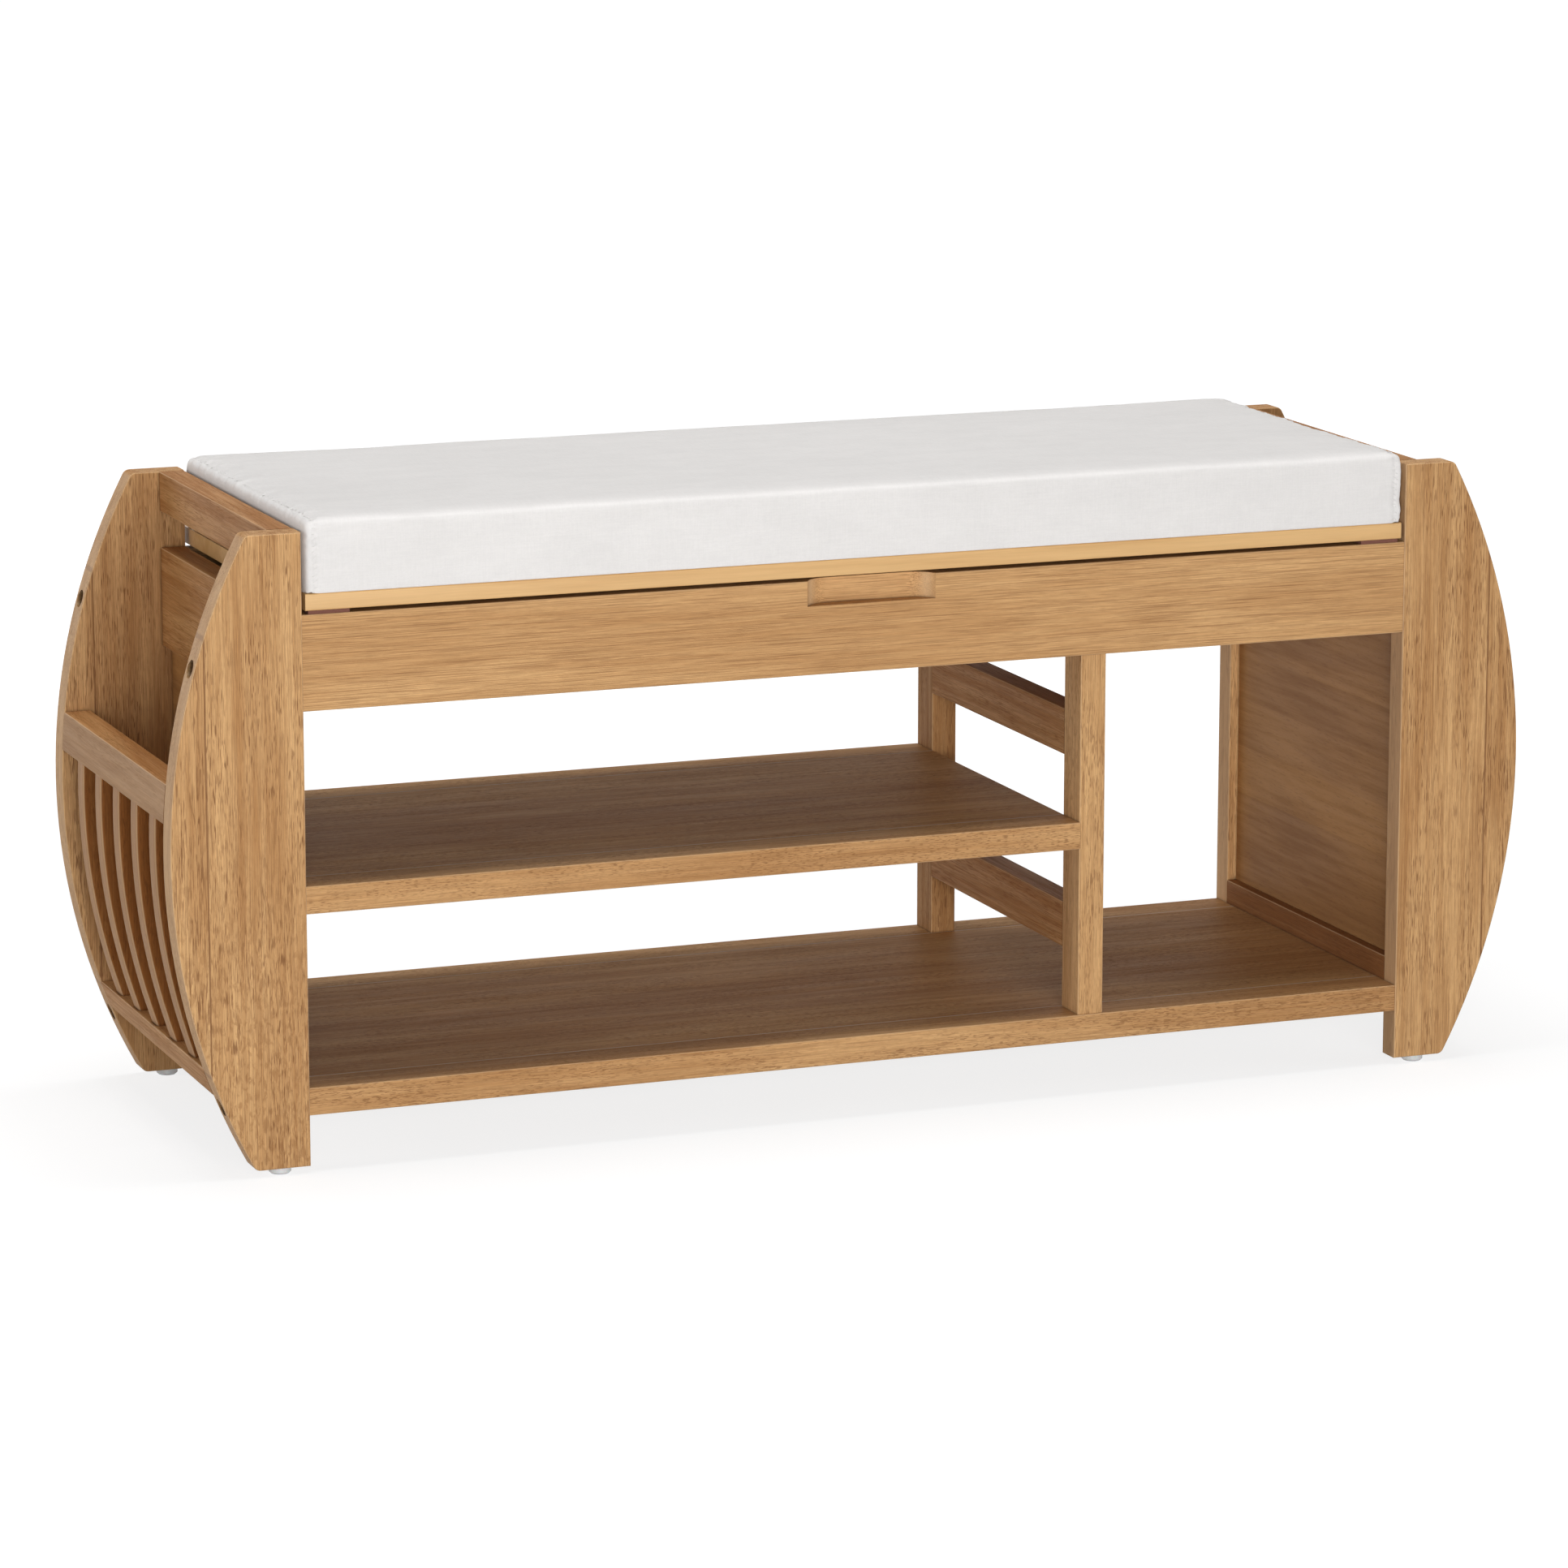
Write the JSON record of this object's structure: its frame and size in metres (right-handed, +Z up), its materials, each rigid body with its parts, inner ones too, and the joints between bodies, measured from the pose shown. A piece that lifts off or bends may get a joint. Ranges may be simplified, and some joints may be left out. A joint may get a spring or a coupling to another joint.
{
  "type": "storage bench",
  "caption": "Wooden storage bench: a padded seat lid lifts over a shallow box, above open shoe shelves, with a slatted magazine rack at each bowed end.",
  "frame": {"origin": "centre of the footprint, on the floor under the glides", "axes": "+X along the bench to the end with the tall bay, +Y to the back, +Z up"},
  "size_m": [1.045, 0.318, 0.4681],
  "materials": {
    "stained_wood": "satin",
    "lid_wood": "satin",
    "plywood": "satin",
    "dowel_wood": "plain",
    "cushion_cover": "short pile",
    "fastening_tape": "woven",
    "bumper_pad": "matte",
    "glide_plastic": "satin",
    "hinge_steel": "yellow passivated",
    "zinc_steel": "zinc plated"
  },
  "bodies": {
    "frame": {"back_apron": "stained_wood", "barrel_nuts": "zinc_steel", "bottom_shelf_front_rail": "stained_wood", "bottom_shelf_panel": "stained_wood", "bottom_shelf_rear_rail": "stained_wood", "box_bottom": "plywood", "bumper_pads": "bumper_pad", "divider_dowels": "dowel_wood", "divider_post_front": "stained_wood", "divider_post_rear": "stained_wood", "divider_rail_lower": "stained_wood", "divider_rail_upper": "stained_wood", "divider_screws": "zinc_steel", "end_panel_back_left": "stained_wood", "end_panel_back_right": "stained_wood", "end_panel_front_left": "stained_wood", "end_panel_front_right": "stained_wood", "end_rail_dowels": "dowel_wood", "end_sill_left": "stained_wood", "end_sill_right": "stained_wood", "end_wall_left": "plywood", "end_wall_right": "plywood", "frame_bolts": "zinc_steel", "front_apron": "stained_wood", "glides": "glide_plastic", "hinge_left_fixed_leaf": "hinge_steel", "hinge_left_pin": "hinge_steel", "hinge_right_fixed_leaf": "hinge_steel", "hinge_right_pin": "hinge_steel", "hinge_screws_apron": "hinge_steel", "middle_shelf_front_rail": "stained_wood", "middle_shelf_panel": "stained_wood", "middle_shelf_rear_rail": "stained_wood", "rack_floor_left": "stained_wood", "rack_floor_right": "stained_wood", "rack_rail_left": "stained_wood", "rack_rail_right": "stained_wood", "rack_slat_left_1": "stained_wood", "rack_slat_left_2": "stained_wood", "rack_slat_left_3": "stained_wood", "rack_slat_left_4": "stained_wood", "rack_slat_left_5": "stained_wood", "rack_slat_right_1": "stained_wood", "rack_slat_right_2": "stained_wood", "rack_slat_right_3": "stained_wood", "rack_slat_right_4": "stained_wood", "rack_slat_right_5": "stained_wood", "rail_dowels": "dowel_wood", "side_apron_left": "stained_wood", "side_apron_right": "stained_wood", "slat_dowels": "dowel_wood", "top_rail_left": "stained_wood", "top_rail_right": "stained_wood"},
    "lid": {"lid_board": "lid_wood", "seat_cushion": "cushion_cover", "cushion_tapes": "fastening_tape", "hinge_left_lid_leaf": "hinge_steel", "hinge_right_lid_leaf": "hinge_steel", "hinge_screws_lid": "hinge_steel"}
  },
  "joints": [
    {"name": "lid_hinge", "type": "hinge", "parent": "frame", "child": "lid", "pos_m": [0, 0.1506, 0.4006], "axis": [-1, 0, 0], "range_deg": [0, 97]}
  ]
}
